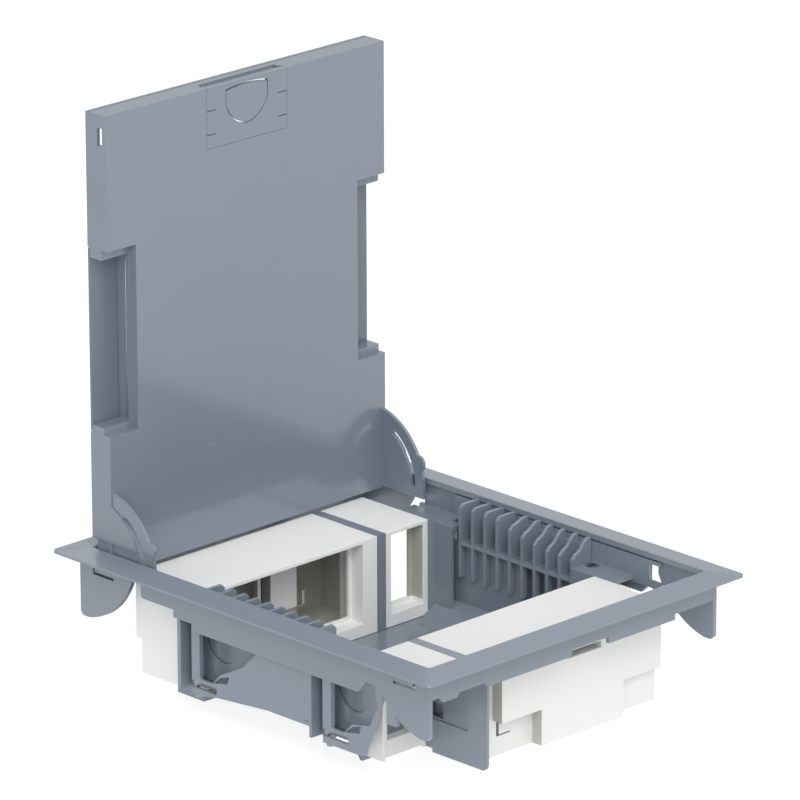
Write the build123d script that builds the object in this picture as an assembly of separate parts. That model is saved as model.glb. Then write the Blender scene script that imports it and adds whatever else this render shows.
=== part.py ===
from build123d import *
import os
from math import sqrt

# Floor socket box for two rows of modules, with its lid standing open.
# Millimetres. X runs along the front edge, Y towards the hinge, Z up from the base.
# Depths are measured down from the top of the flange, reaches from the hinge axis.

# Overall
flange_width = 244.8
flange_length = 299.0
box_height = 76.0

# Bezel frame
flange_band = 16.0
flange_edge = 1.4
flange_rise = 1.8
flange_land = 1.0
flange_corner = 4.0
opening_corner = 2.0
skirt_inset = 11.3
skirt_wall = 2.5
skirt_end_depth = 16.5
skirt_front_depth = 19.8
skirt_rear_depth = 21.5
skirt_side_depth = 25.8
skirt_back_depth = 27.0
ear_depth = 39.8
ear_length = 42.0
ear_notch = 7.0
notch_depth = 5.0
slot_height = 1.8
slot_depth = 11.5
slot_length = 17.0

# Lid
lid_gap = 0.7
lid_thickness = 16.0
lid_proud = 0.5
lid_wall = 2.0
lid_web = 2.4
rim_reach = 12.3
notch_length = 106.8
notch_width = 21.2
notch_reach = 74.7
notch_sill = 4.0
notch_head = 5.8
notch_rib = 1.2
rib_front = 5.1
rib_back = 14.1
finger_half = 29.0
finger_depth = 1.2
rim_groove = 0.7
side_slot_width = 3.8
side_slot_height = 10.0
side_slot_reach = 241.4
ear_radius = 42.6
ear_slot_radius = 34.5
ear_slot_width = 3.6
ear_plate = 2.1
ear_inset = 0.8
ear_lobe = 5.0
arm_radius = 5.0

# Hinge
hinge_offset = 8.8
hinge_setback = 7.2
hinge_pin_radius = 2.0
hinge_play = 0.08
boss_radius = 4.5
boss_gap = 0.4

# Cable flaps
flap_thickness = 1.6
flap_gap = 0.6
flap_pin_radius = 0.5
flap_pin_bite = 1.8

# Handle cartridge
cartridge_width = 61.0
cartridge_height = 35.0
cartridge_wall = 1.8
cartridge_gap = 0.2
handle_width = 31.0
handle_height = 22.0
handle_plate = 2.4
handle_gap = 0.5
handle_drop = 5.1
snap_length = 7.0
snap_slit = 0.5
snap_drops = (13.3, 27.0)
handle_pin_radius = 0.8

# Module carriers
module_width = 22.5
module_height = 45.0
carrier_side_inset = 33.4
carrier_front_inset = 83.5
carrier_back_inset = 30.0
seam_setback = 25.5
carrier_margin = 8.65
carrier_wall = 2.0
carrier_foot = 0.3
carrier_clear = 0.45
reveal_depth = 9.0
reveal_margin = 1.5
frame_lip = 2.6
small_depth = 14.0
cover_inset = 2.4
cover_block = 64.0
cover_block_inset = 31.7
cover_upper_end = 37.4
cover_step = 4.6
cover_base = 7.5
cover_step_depth = 54.5
cover_panel_rise = 6.4
cover_slot_depth = 26.5
cover_slot_height = 4.0
tongue_width = 10.5
tongue_height = 8.5
column_width = 20.1
column_start = -7.2
column_depth = 7.0
divider_width = 6.4
divider_gap = 0.3
divider_end_inset = 23.2
divider_plate = 1.6
divider_round = 4.0
divider_drop = 2.2

# Basin
basin_floor = 2.4
basin_wall = 1.8
floor_side_inset = 48.4
floor_end_inset = 65.5
slant_rise = 18.6
wall_inset = 31.4
wall_end_inset = 68.5
panel_gap = 0.3
panel_top_depth = 4.3
panel_foot = 12.4
panel_front_inset = 49.9
pocket_inset = 25.4
pocket_top = 55.6
ledge_clear = 0.7
ledge_plate = 2.4
ledge_end_inset = 70.5
hole_radius = 13.5
hole_depth = 1.0

# Cable combs
comb_count = 10
comb_pitch = 9.8
blade_thickness = 2.2
comb_centre = -1.6
comb_shelf_depth = 24.0
comb_shelf = 2.0
comb_top_depth = 1.9
comb_foot_depth = 45.3
blade_drops = (8.0, 8.0, 8.0, 6.5, 5.0, 3.0, 0.0, 0.0, 0.0, 0.0)

# Clamps
clamp_inset = 20.9
clamp_end_inset = 97.5
screw_radius = 2.0
screw_head_radius = 3.8
screw_head_height = 2.2
screw_tip_depth = 68.0
nut_radius = 3.6
nut_height = 3.6
claw_thickness = 3.0
claw_reach = 21.0
claw_arm = 4.4
claw_offset = 1.3
claw_depth = 56.2
claw_clear = 0.6
clamp_play = 0.1
guard_near = 1.4
guard_wide = 6.4
slot_far = 7.5
trough_radius = 4.4

# Worked out from the sizes above
half_x = flange_width / 2
half_y = flange_length / 2
open_x = half_x - flange_band
open_y = half_y - flange_band
under_flange = flange_rise + flange_edge
skirt_x = half_x - skirt_inset
skirt_y = half_y - skirt_inset
skirt_in_x = skirt_x - skirt_wall
skirt_in_y = skirt_y - skirt_wall
lid_x = open_x - lid_gap
closed_under = lid_thickness - lid_proud
hinge_y = open_y - hinge_setback
hinge_depth = closed_under - hinge_offset
free_reach = hinge_y + open_y - lid_gap
tail_reach = hinge_setback - lid_gap - 0.3
under_y = hinge_y - hinge_offset
ear_x = lid_x - ear_inset
clamp_x = half_x - clamp_inset
clamp_y = half_y - clamp_end_inset
pocket_x = half_x - pocket_inset
wall_x = half_x - wall_inset
wall_end = half_y - wall_end_inset
floor_half_width = half_x - floor_side_inset
floor_half_length = half_y - floor_end_inset
panel_front = half_y - panel_front_inset
ledge_end = half_y - ledge_end_inset
ledge_depth = closed_under + ledge_clear
comb_reach = ((comb_count - 1) * comb_pitch + blade_thickness) / 2 + abs(comb_centre)
carrier_top_depth = closed_under + carrier_clear
carrier_side = half_x - carrier_side_inset
carrier_front = half_y - carrier_front_inset
carrier_back = half_y - carrier_back_inset
carrier_seam = carrier_back - seam_setback
divider_end = half_y - divider_end_inset
frame_margins = 2 * (reveal_margin + frame_lip)
row_space = 2 * carrier_side - divider_width - 2 * divider_gap - 2 * carrier_margin - 2 * frame_margins
modules_in_row = int(row_space / module_width) - 1
large_width = module_width * modules_in_row + frame_margins + 2 * carrier_margin
small_width = 2 * carrier_side - large_width - divider_width - 2 * divider_gap


def z_at(depth):
    """Height above the base of a point this far below the top of the flange."""
    return box_height - depth


def lid_y(offset):
    """Place of a plane of the open lid, measured from its underside."""
    return under_y + offset


def lid_z(reach):
    """Height of a line of the open lid, measured from the hinge axis."""
    return z_at(hinge_depth) + reach


def block(x_span, y_span, z_span):
    """Box between two limits on each axis."""
    size = [max(span) - min(span) for span in (x_span, y_span, z_span)]
    middle = [sum(span) / 2 for span in (x_span, y_span, z_span)]
    return Pos(*middle) * Box(*size)


def outline(start, *steps):
    """Closed face: a point makes a line, a pair of points an arc through the first."""
    with BuildSketch() as sketch:
        with BuildLine():
            here = start
            for step in steps:
                if isinstance(step[0], tuple):
                    ThreePointArc(here, step[0], step[1])
                    here = step[1]
                else:
                    Line(here, step)
                    here = step
            Line(here, start)
        make_face()
    return sketch.sketch


def side_plate(face, x_span):
    """Face drawn in Y and Z, as thick as the span along X."""
    return extrude(Plane.YZ.offset(min(x_span)) * face, amount=max(x_span) - min(x_span))


def front_plate(face, y_span):
    """Face drawn in X and Z, as thick as the span along Y."""
    return extrude(Plane.XZ.offset(-max(y_span)) * face, amount=max(y_span) - min(y_span))


def x_rod(radius, x_span, y, z):
    """Round bar along X."""
    length = max(x_span) - min(x_span)
    return Pos(sum(x_span) / 2, y, z) * Rot(0, 90, 0) * Cylinder(radius, length)


def mirrored(shape):
    """The same piece on the other side of the box."""
    return mirror(shape, about=Plane.YZ)


def both_sides(shape):
    """The piece and its mirror image, joined."""
    return shape + mirrored(shape)


# Bezel frame

def flange_ring():
    """Flat band round the opening, rising to its inner edge."""
    rim = RectangleRounded(flange_width, flange_length, flange_corner)
    crown = RectangleRounded(2 * (open_x + flange_land), 2 * (open_y + flange_land), opening_corner)
    hole = RectangleRounded(2 * open_x, 2 * open_y, opening_corner)
    band = extrude(Plane.XY.offset(z_at(under_flange)) * rim, amount=flange_edge)
    band += loft([Plane.XY.offset(z_at(flange_rise)) * rim, Plane.XY.offset(z_at(0)) * crown])
    return band - extrude(Plane.XY.offset(z_at(under_flange) - 1) * hole, amount=under_flange + 2)


def side_skirt_face():
    """Outline of a long side of the skirt, with a hanging ear at each end."""
    top = z_at(under_flange - 1)
    root = skirt_y - ear_length
    inner = root - ear_notch
    ear_mid = (root + 13.5, z_at(ear_depth - 10.3))
    return outline(
        (skirt_y, top),
        (skirt_y, z_at(ear_depth - 2)),
        (skirt_y - 2, z_at(ear_depth)),
        (skirt_y - 7, z_at(ear_depth)),
        (ear_mid, (root, z_at(notch_depth + 6.5))),
        (root, z_at(notch_depth)),
        (inner, z_at(notch_depth)),
        (inner - 1, z_at(skirt_end_depth)),
        (clamp_y + 10, z_at(skirt_end_depth)),
        (clamp_y + 10, z_at(skirt_rear_depth)),
        (clamp_y - 4.5, z_at(skirt_rear_depth)),
        (clamp_y - 4.5, z_at(skirt_side_depth)),
        (-inner + 6, z_at(skirt_side_depth)),
        (-inner, z_at(skirt_side_depth - 6)),
        (-inner, z_at(notch_depth)),
        (-root, z_at(notch_depth)),
        (-root, z_at(notch_depth + 6.5)),
        ((-ear_mid[0], ear_mid[1]), (-skirt_y + 7, z_at(ear_depth))),
        (-skirt_y + 2, z_at(ear_depth)),
        (-skirt_y, z_at(ear_depth - 2)),
        (-skirt_y, top),
    )


def front_skirt_face():
    """Outline of the front side of the skirt."""
    top = z_at(under_flange - 1)
    return outline(
        (-skirt_x, top),
        (-skirt_x, z_at(skirt_end_depth)),
        (-skirt_x + 9, z_at(skirt_end_depth)),
        (-skirt_x + 11, z_at(skirt_front_depth)),
        (-skirt_x + 21, z_at(skirt_front_depth)),
        (-skirt_x + 23, z_at(skirt_end_depth + 0.7)),
        (-skirt_x + 42, z_at(skirt_end_depth + 0.7)),
        (-skirt_x + 44, z_at(skirt_front_depth)),
        (-2.5, z_at(skirt_front_depth)),
        (-2.5, z_at(skirt_end_depth - 0.5)),
        (26, z_at(skirt_end_depth - 0.5)),
        (26, z_at(skirt_front_depth)),
        (skirt_x - 33, z_at(skirt_front_depth)),
        (skirt_x - 33, z_at(skirt_end_depth)),
        (skirt_x, z_at(skirt_end_depth)),
        (skirt_x, top),
    )


def rear_skirt_face():
    """Outline of the rear side of the skirt, deeper than the front one between its ears."""
    top = z_at(under_flange - 1)
    return outline(
        (-skirt_x, top),
        (-skirt_x, z_at(skirt_end_depth)),
        (-skirt_x + 9, z_at(skirt_end_depth)),
        (-skirt_x + 11, z_at(skirt_back_depth)),
        (skirt_x - 11, z_at(skirt_back_depth)),
        (skirt_x - 9, z_at(skirt_end_depth)),
        (skirt_x, z_at(skirt_end_depth)),
        (skirt_x, top),
    )


def corner_slot(direction):
    """L-shaped slot through a long side of the skirt, near one of its ends."""
    outer = direction * (skirt_y - ear_length / 4)
    inner = outer - direction * slot_length
    span = (skirt_in_x - 1, skirt_x + 1)
    run = block(span, (inner, outer), (z_at(slot_depth), z_at(slot_depth + slot_height)))
    rise = block(span, (outer - direction * slot_height, outer), (z_at(slot_depth - 3), z_at(slot_depth + 1)))
    return run + rise


def make_bezel_frame():
    """Flange, skirt, ears, hinge bosses and the fixed bar beside the hinge."""
    frame = flange_ring()
    frame += both_sides(side_plate(side_skirt_face(), (skirt_in_x, skirt_x)))
    frame += front_plate(front_skirt_face(), (-skirt_y, -skirt_in_y))
    frame += front_plate(rear_skirt_face(), (skirt_in_y, skirt_y))
    bar_half = ear_x - ear_plate - 0.8
    bar_front = under_y + lid_web + 0.8
    frame += block((-bar_half, bar_half), (bar_front, open_y + 1), (z_at(under_flange), z_at(0)))
    bosses = x_rod(boss_radius, (ear_x + boss_gap, skirt_in_x + 0.5), hinge_y, z_at(hinge_depth))
    frame += both_sides(bosses)
    for direction in (1, -1):
        frame -= both_sides(corner_slot(direction))
    bore = x_rod(hinge_pin_radius + hinge_play, (ear_x, skirt_x + 1), hinge_y, z_at(hinge_depth))
    return frame - both_sides(bore)


# Lid

def ear_face():
    """Quadrant ear of the lid round the hinge axis, down to its straight foot."""
    axis_z = lid_z(0)
    foot = axis_z - 5.2
    front = hinge_y - ear_radius
    start_z = axis_z + sqrt(ear_radius ** 2 - hinge_offset ** 2)
    middle = (hinge_y - ear_radius * 0.766, axis_z + ear_radius * 0.643)
    quadrant = outline(
        (under_y + lid_web / 2, foot),
        (under_y + lid_web / 2, start_z),
        (under_y, start_z),
        (middle, (front, axis_z)),
        (front, foot),
    )
    lobe = Pos(front + ear_lobe, axis_z + 3 * ear_lobe) * Circle(ear_lobe)
    arm = Pos(hinge_y, axis_z) * Circle(arm_radius)
    link = outline((under_y, foot), (hinge_y, foot + 0.2), (hinge_y + 4, axis_z + 3),
                   (hinge_y + 4, lid_z(rim_reach) + 1), (under_y, lid_z(rim_reach) + 1))
    return quadrant + lobe + arm + link


def ear_slot():
    """Arc slot of the ear, round the hinge axis."""
    ring = Circle(ear_slot_radius + ear_slot_width / 2) - Circle(ear_slot_radius - ear_slot_width / 2)
    window = outline((0, 0), (-60, 2), (-60, 60), (-30, 50))
    return Pos(hinge_y, lid_z(0)) * (ring & window)


def notch_span():
    """Z limits of a notch through the lid's web."""
    low = lid_z(notch_reach)
    return low, low + notch_length


def notch_walls():
    """Solid that walls round the right notch."""
    low, high = notch_span()
    return block((lid_x - notch_width - lid_wall, lid_x), (under_y, lid_y(lid_thickness)),
                 (low - lid_wall, high + lid_wall))


def notch_hole():
    """Right notch, open to the side."""
    return block((lid_x - notch_width, lid_x + 1), (under_y - 1, lid_y(lid_thickness) + 1), notch_span())


def notch_frame():
    """Narrower frame inside the right notch, set back from the web and short of the flap."""
    low, high = notch_span()
    inner = lid_x - notch_width
    y_span = (lid_y(rib_front), lid_y(rib_back))
    frame = block((inner - 1, lid_x), y_span, (low - 1, high + 1))
    return frame - block((inner + notch_rib, lid_x + 1), (y_span[0] - 1, y_span[1] + 1),
                         (low + notch_sill, high - notch_head))


def finger_recess():
    """Shallow recess in the lid's free end, with a round pit at each end."""
    free = lid_z(free_reach)
    recess = block((-finger_half, finger_half), (lid_y(3.4), lid_y(9)), (free - finger_depth, free + 1))
    pit = Pos(finger_half, lid_y(5), free) * Cylinder(1.7, 3)
    return recess + both_sides(pit)


def make_lid_tray():
    """Moulded tray: web under the floor covering, rim walls, notches, ears and hinge arms."""
    outer_y = lid_y(lid_thickness)
    rim_low = lid_z(rim_reach)
    free = lid_z(free_reach)
    web = block((-lid_x, lid_x), (under_y, lid_y(lid_web)), (lid_z(-tail_reach), free))
    shell = block((-lid_x, lid_x), (under_y, outer_y), (rim_low, free))
    inside = block((-lid_x + lid_wall, lid_x - lid_wall), (lid_y(lid_web), outer_y + 1),
                   (rim_low + lid_wall, free - lid_wall))
    tray = web + (shell - inside) + both_sides(notch_walls())
    tray -= both_sides(notch_hole())
    tray += both_sides(notch_frame())
    ears = side_plate(ear_face() - ear_slot(), (ear_x - ear_plate, ear_x))
    skin = side_plate(outline(
        (under_y, rim_low), (under_y, lid_z(34)), (under_y - 14, lid_z(26)),
        (under_y - 20, rim_low)) - ear_slot(), (ear_x, lid_x))
    tray += both_sides(ears + (skin & side_plate(ear_face(), (ear_x, lid_x))))
    bore = x_rod(hinge_pin_radius + hinge_play, (ear_x - ear_plate - 1, ear_x + 1), hinge_y, lid_z(0))
    tray -= both_sides(bore)
    tray -= block((-cartridge_width / 2, cartridge_width / 2), (under_y - 1, lid_y(lid_web + cartridge_gap)),
                  (free - cartridge_height, free + 1))
    tray -= finger_recess()
    tray -= block((-lid_x - 1, lid_x + 1), (lid_y(13.2), lid_y(13.2 + rim_groove)), (free - rim_groove, free + 1))
    tray -= block((-lid_x - 1, -lid_x + lid_wall + 1), (lid_y(2.8), lid_y(2.8 + side_slot_width)),
                  (lid_z(side_slot_reach), lid_z(side_slot_reach) + side_slot_height))
    pins = flap_pin_rod(flap_pin_radius + hinge_play, flap_pin_bite + 0.5)
    return tray - both_sides(pins)


# Cable flaps

def flap_axis():
    """X and Y of a flap's hinge line at the right side of the lid."""
    return lid_x - notch_width + flap_gap + flap_thickness / 2, lid_y(lid_thickness - flap_thickness / 2)


def flap_pin_rod(radius, bite):
    """Bar along the right flap's hinge line, this far into the lid at both ends."""
    x, y = flap_axis()
    low, high = notch_span()
    return Pos(x, y, (low + high) / 2) * Cylinder(radius, high - low + 2 * bite)


def make_cable_flap():
    """Right flap: a thin plate with a rounded knuckle along its hinge line."""
    x, y = flap_axis()
    low, high = notch_span()
    span = (low + flap_gap, high - flap_gap)
    plate = block((x, lid_x - 0.2), (y - flap_thickness / 2, y + flap_thickness / 2), span)
    knuckle = Pos(x, y, sum(span) / 2) * Cylinder(flap_thickness / 2, span[1] - span[0])
    return plate + knuckle - flap_pin_rod(flap_pin_radius + hinge_play, 0)


# Handle cartridge

def handle_axis():
    """Y and Z of the handle's hinge line."""
    return lid_y(handle_plate / 2), lid_z(free_reach) - handle_drop


def handle_face(grow):
    """Shield shape of the handle, larger all round by this much."""
    axis_z = handle_axis()[1]
    half = handle_width / 2 + grow
    top = axis_z + 1.6 + 2 * max(grow, 0)
    low = axis_z - handle_height + 2 - grow
    bend = axis_z - handle_height * 0.35
    return outline((-half, top - 1), ((0, top + 0.6), (half, top - 1)), (half, bend),
                   ((half * 0.68, low + handle_height * 0.22), (0, low)),
                   ((-half * 0.68, low + handle_height * 0.22), (-half, bend)))


def make_handle_cartridge():
    """Insert with a floor level with the lid's underside and a collar on its outer side."""
    half = cartridge_width / 2 - cartridge_gap
    free = lid_z(free_reach)
    low = free - cartridge_height + cartridge_gap
    high = free - lid_wall - cartridge_gap
    body = block((-half, half), (under_y, lid_y(lid_web)), (low, free))
    body += block((-half, half), (under_y, lid_y(lid_thickness - 1)), (low, high))
    body -= block((-half + cartridge_wall, half - cartridge_wall), (lid_y(handle_plate), lid_y(lid_thickness)),
                  (low + cartridge_wall, high + 1))
    body -= front_plate(handle_face(handle_gap), (under_y - 1, lid_y(handle_plate) + 1))
    for drop in snap_drops:
        slit = block((half - snap_length, half + 1), (under_y - 1, lid_y(lid_web / 2)),
                     (free - drop - snap_slit / 2, free - drop + snap_slit / 2))
        body -= both_sides(slit)
    y, z = handle_axis()
    seat_half = handle_width / 2 + 4
    return body - x_rod(handle_pin_radius + hinge_play, (-seat_half, seat_half), y, z)


def make_lifting_handle():
    """Shield-shaped plate that swings out of the lid about its straight edge."""
    y, z = handle_axis()
    plate = front_plate(handle_face(0), (under_y, lid_y(handle_plate)))
    grip = front_plate(handle_face(-handle_plate), (lid_y(0.9), lid_y(handle_plate) + 1))
    rim_cut = block((-handle_width, handle_width), (lid_y(0.9), lid_y(handle_plate) + 2), (z - 3, z + 10))
    bore = x_rod(handle_pin_radius + hinge_play, (-handle_width, handle_width), y, z)
    return plate - (grip - rim_cut) - bore


# Module carriers, drawn for the rear row

def carrier_floor():
    """Height of the underside of every carrier."""
    return basin_floor + carrier_foot


def carrier_frame(x_low, x_high, modules, depth):
    """Frame with a deep reveal, an inner lip and open space behind for the modules."""
    low = carrier_floor()
    high = z_at(carrier_top_depth)
    middle = (x_low + x_high) / 2
    reveal_high = high - carrier_wall
    reveal_low = reveal_high - module_height - 2 * reveal_margin
    window_half = modules * module_width / 2 + reveal_margin
    body = block((x_low, x_high), (carrier_front, carrier_front + depth), (low, high))
    body -= block((middle - window_half, middle + window_half),
                  (carrier_front - 1, carrier_front + reveal_depth), (reveal_low, reveal_high))
    body -= block((middle - window_half + frame_lip, middle + window_half - frame_lip),
                  (carrier_front - 1, carrier_front + reveal_depth + 4),
                  (reveal_low + frame_lip, reveal_high - frame_lip))
    body -= block((x_low + carrier_wall, x_high - carrier_wall),
                  (carrier_front + reveal_depth + 2, carrier_front + depth + 1),
                  (low + carrier_wall, high - carrier_wall))
    return body


def large_span():
    """X limits of the rear large carrier."""
    return -carrier_side, -carrier_side + large_width


def small_span():
    """X limits of the rear small carrier."""
    return carrier_side - small_width, carrier_side


def make_large_carrier():
    """Rear carrier for a row of modules."""
    x_low, x_high = large_span()
    return carrier_frame(x_low, x_high, modules_in_row, carrier_seam - carrier_front)


def make_small_carrier():
    """Rear carrier for a single module: shallow, open below, its roof running on behind it."""
    x_low, x_high = small_span()
    body = carrier_frame(x_low, x_high, 1, small_depth)
    high = z_at(carrier_top_depth)
    behind = carrier_front + reveal_depth + 2
    body -= block((x_low + carrier_wall, x_high - carrier_wall), (behind, carrier_front + small_depth + 1),
                  (carrier_floor() - 1, carrier_floor() + 2 * carrier_wall))
    roof = block((x_low, x_high), (carrier_front + small_depth - 1, carrier_back), (high - carrier_wall, high))
    return body + roof


def make_back_cover():
    """Cover behind the rear large carrier: a full block, recessed beside and below it."""
    x_low, x_high = large_span()
    near = x_low + cover_inset
    block_low = x_low + cover_block_inset
    block_high = block_low + cover_block
    low = carrier_floor() - basin_floor
    high = z_at(carrier_top_depth)
    step_z = z_at(cover_step_depth)
    shell = block((near, cover_upper_end), (carrier_seam, carrier_back), (step_z, high))
    shell += block((block_low, block_high), (carrier_seam, carrier_back), (low, high))
    shell += block((near, block_low + 1), (carrier_seam, carrier_back - cover_step), (low + cover_panel_rise, high))
    shell += block((block_high - 1, x_high), (carrier_seam, carrier_back - cover_base), (low, high))
    inside = block((near + carrier_wall, x_high - carrier_wall),
                   (carrier_seam - 1, carrier_back - cover_base - carrier_wall),
                   (low + cover_panel_rise + carrier_wall, high - carrier_wall))
    slot_z = z_at(cover_slot_depth)
    slot = block((-39.5, -13.5), (carrier_back - cover_base - carrier_wall - 1, carrier_back + 1),
                 (slot_z - cover_slot_height, slot_z))
    shell = shell - inside - slot - tongue_slot(cover_upper_end - 3)
    return shell + window_column(low + cover_panel_rise + 1, high - 1)


def tongue_slot(x_high):
    """L-shaped slit round the latch tongue, in the recess beside the block."""
    y_span = (carrier_back - cover_base - carrier_wall - 1, carrier_back - cover_base + 1)
    top = z_at(cover_step_depth) - 1
    rise = block((x_high - 2, x_high), y_span, (top - tongue_height, top))
    return rise + block((x_high - tongue_width, x_high), y_span, (top - tongue_height - 0.8, top - tongue_height))


def window_column(z_low, z_high):
    """Column and narrow post that divide the space behind the window."""
    y_low = carrier_seam + 0.3
    column = block((column_start, column_start + column_width), (y_low, y_low + column_depth), (z_low, z_high))
    post = block((column_start - 10, column_start - 7.7), (y_low, y_low + column_depth / 2), (z_low, z_high))
    return column + post


def divider_side_face(tail_y):
    """Outline of the divider's wall beside the small carrier, from its front to its tail."""
    low = carrier_floor()
    foot = low - divider_drop
    step_y = floor_half_length + divider_gap
    high = z_at(carrier_top_depth)
    end = divider_end - divider_round
    bend = divider_round * (1 - sqrt(0.5))
    return outline(
        (carrier_front, high),
        (carrier_front, low),
        (step_y, low),
        (step_y, foot),
        (end, foot),
        ((divider_end - bend, foot + bend), (divider_end, foot + divider_round)),
        (divider_end, high - 4),
        (tail_y, high - 4),
        (tail_y, high),
    )


def make_divider():
    """Rear divider: a channel between the carriers, one wall windowed and running out to a tail."""
    low = carrier_floor()
    high = z_at(carrier_top_depth)
    x_low = large_span()[1] + divider_gap
    x_high = x_low + divider_width
    tail_y = carrier_back - 2
    body = block((x_low, x_high), (carrier_front, tail_y), (low, high))
    body -= block((x_low + divider_plate, x_high - divider_plate), (carrier_front + divider_plate, tail_y + 1),
                  (low - 1, high - 5.6))
    body += side_plate(divider_side_face(tail_y), (x_high - divider_plate, x_high))
    body -= block((x_high - divider_plate - 1, x_high + 1), (82, 111.5), (low + 12, high - 12))
    ramp = outline((78, 12), (95, 22.5), (95, 26), (78, 15.5))
    return body + side_plate(ramp, (x_low + divider_plate / 2, x_high - divider_plate - 0.6))


def turned(shape):
    """The front row's piece: the rear row's, turned half round the box."""
    return Rot(0, 0, 180) * shape


# Basin

def panel_face():
    """Outline of an outer side panel of the basin, in Y and Z."""
    slant_foot = slant_rise + 2.9
    cheek_rear = clamp_y + slot_far + 2.5
    cheek_front = -clamp_y + slot_far + 0.6
    return outline(
        (cheek_rear, z_at(panel_top_depth)),
        (cheek_rear, panel_foot - 0.3),
        (clamp_y - 9, panel_foot),
        (clamp_y - claw_reach - 1, panel_foot + 2.4),
        (cheek_front, slant_foot),
        (cheek_front, panel_foot - 0.3),
        (-floor_half_length, panel_foot),
        (-floor_half_length - 2, panel_foot + 1),
        (-panel_front, panel_foot + 35.5),
        (-panel_front, z_at(panel_top_depth)),
    )


def pocket_face(y, tail):
    """Opening of a clamp pocket in the panel, closed by the given tail of points."""
    low = claw_z(1) + claw_clear + 1.8
    near = y - guard_near - guard_wide
    points = [(y + step[0], step[1]) for step in tail]
    return outline((near, pocket_top), (near, low + 2), ((near - 0.6, low + 0.6), (near - 2, low)),
                   (y - 18, low), (y - 24, low + 6.4), *points)


def claw_z(edge):
    """Height of the claw's underside (edge 0) or of its top (edge 1)."""
    return z_at(claw_depth) - (1 - edge) * claw_thickness


def pocket_cut(y, tail):
    """Openings of one clamp in the panel: pocket, claw slit, small window and slot."""
    outer = skirt_in_x + 1
    inner = open_x - 2
    window = outline((y - 19.2, 22.8), (y - 24.3, 27.2), (y - 31.4, 29.6), (y - 30, 24.9))
    cut = side_plate(pocket_face(y, tail) + window, (inner, outer))
    cut += block((inner, outer), (y - claw_reach - 0.3, y), (claw_z(0) - claw_clear, claw_z(1) + claw_clear))
    cut += block((inner, outer), (y - guard_near, y + slot_far), (0, z_at(ledge_depth + 0.2)))
    return cut


def trough(y, high):
    """Quarter tube that backs one clamp screw, open to the front and to the outside."""
    low = panel_foot
    middle = (low + high) / 2
    tube = Pos(clamp_x, y, middle) * Cylinder(trough_radius + basin_wall, high - low)
    tube -= Pos(clamp_x, y, middle) * Cylinder(trough_radius, high - low + 2)
    return tube & block((pocket_x - basin_wall - 1, clamp_x), (y, y + 8), (low, high))


def pocket_back(y, y_span):
    """Back wall of one clamp pocket, with a half-round hollow in its outer face."""
    plate = block((pocket_x - basin_wall, pocket_x), y_span,
                  (slant_z(pocket_x) - basin_floor / 2, z_at(comb_shelf_depth + comb_shelf + panel_gap)))
    middle_y = y - 15.5
    middle_z = z_at(comb_shelf_depth + 8)
    span = (pocket_x - hole_depth, pocket_x + 1)
    hole = x_rod(hole_radius, span, middle_y, middle_z)
    return plate - (hole & block(span, (middle_y - 14, middle_y + 14), (20, middle_z)))


def slant_z(x):
    """Height of the inside of the slanted bottom at this X."""
    return basin_floor + (x - floor_half_width) * slant_rise / (skirt_in_x - floor_half_width)


def slant_plate(x_foot, x_end, y_span):
    """Slanted bottom from the flat floor's edge at the first X up to the second."""
    start = x_foot - 3
    rise = slant_z(x_end)
    return front_plate(outline((start, 0), (x_foot, 0), (x_end, rise - basin_floor), (x_end, rise),
                               (x_foot, basin_floor), (start, basin_floor)), y_span)


def ledge(y, y_span):
    """Ledge over one clamp, with the screw's boss, bore and sunk seat."""
    outer = skirt_in_x - panel_gap
    shelf = block((wall_x - basin_wall, outer), y_span, (z_at(ledge_depth + ledge_plate), z_at(ledge_depth)))
    boss = Pos(clamp_x, y, z_at(ledge_depth + ledge_plate + 1)) * Cylinder(screw_head_radius + 0.6, 3)
    bore = Pos(clamp_x, y, z_at(ledge_depth + 6)) * Cylinder(screw_radius + clamp_play, 16)
    seat = Pos(clamp_x, y, z_at(ledge_depth) - screw_head_height / 2 + 1) * Cylinder(
        screw_head_radius + clamp_play, screw_head_height + 2)
    return shelf + boss - bore - seat


def cheek(y, x_start, high):
    """Plate across the side of the basin beyond one clamp's slot."""
    near = y + slot_far
    return block((x_start, skirt_in_x - panel_gap), (near, near + basin_wall), (panel_foot - 0.3, high))


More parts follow.
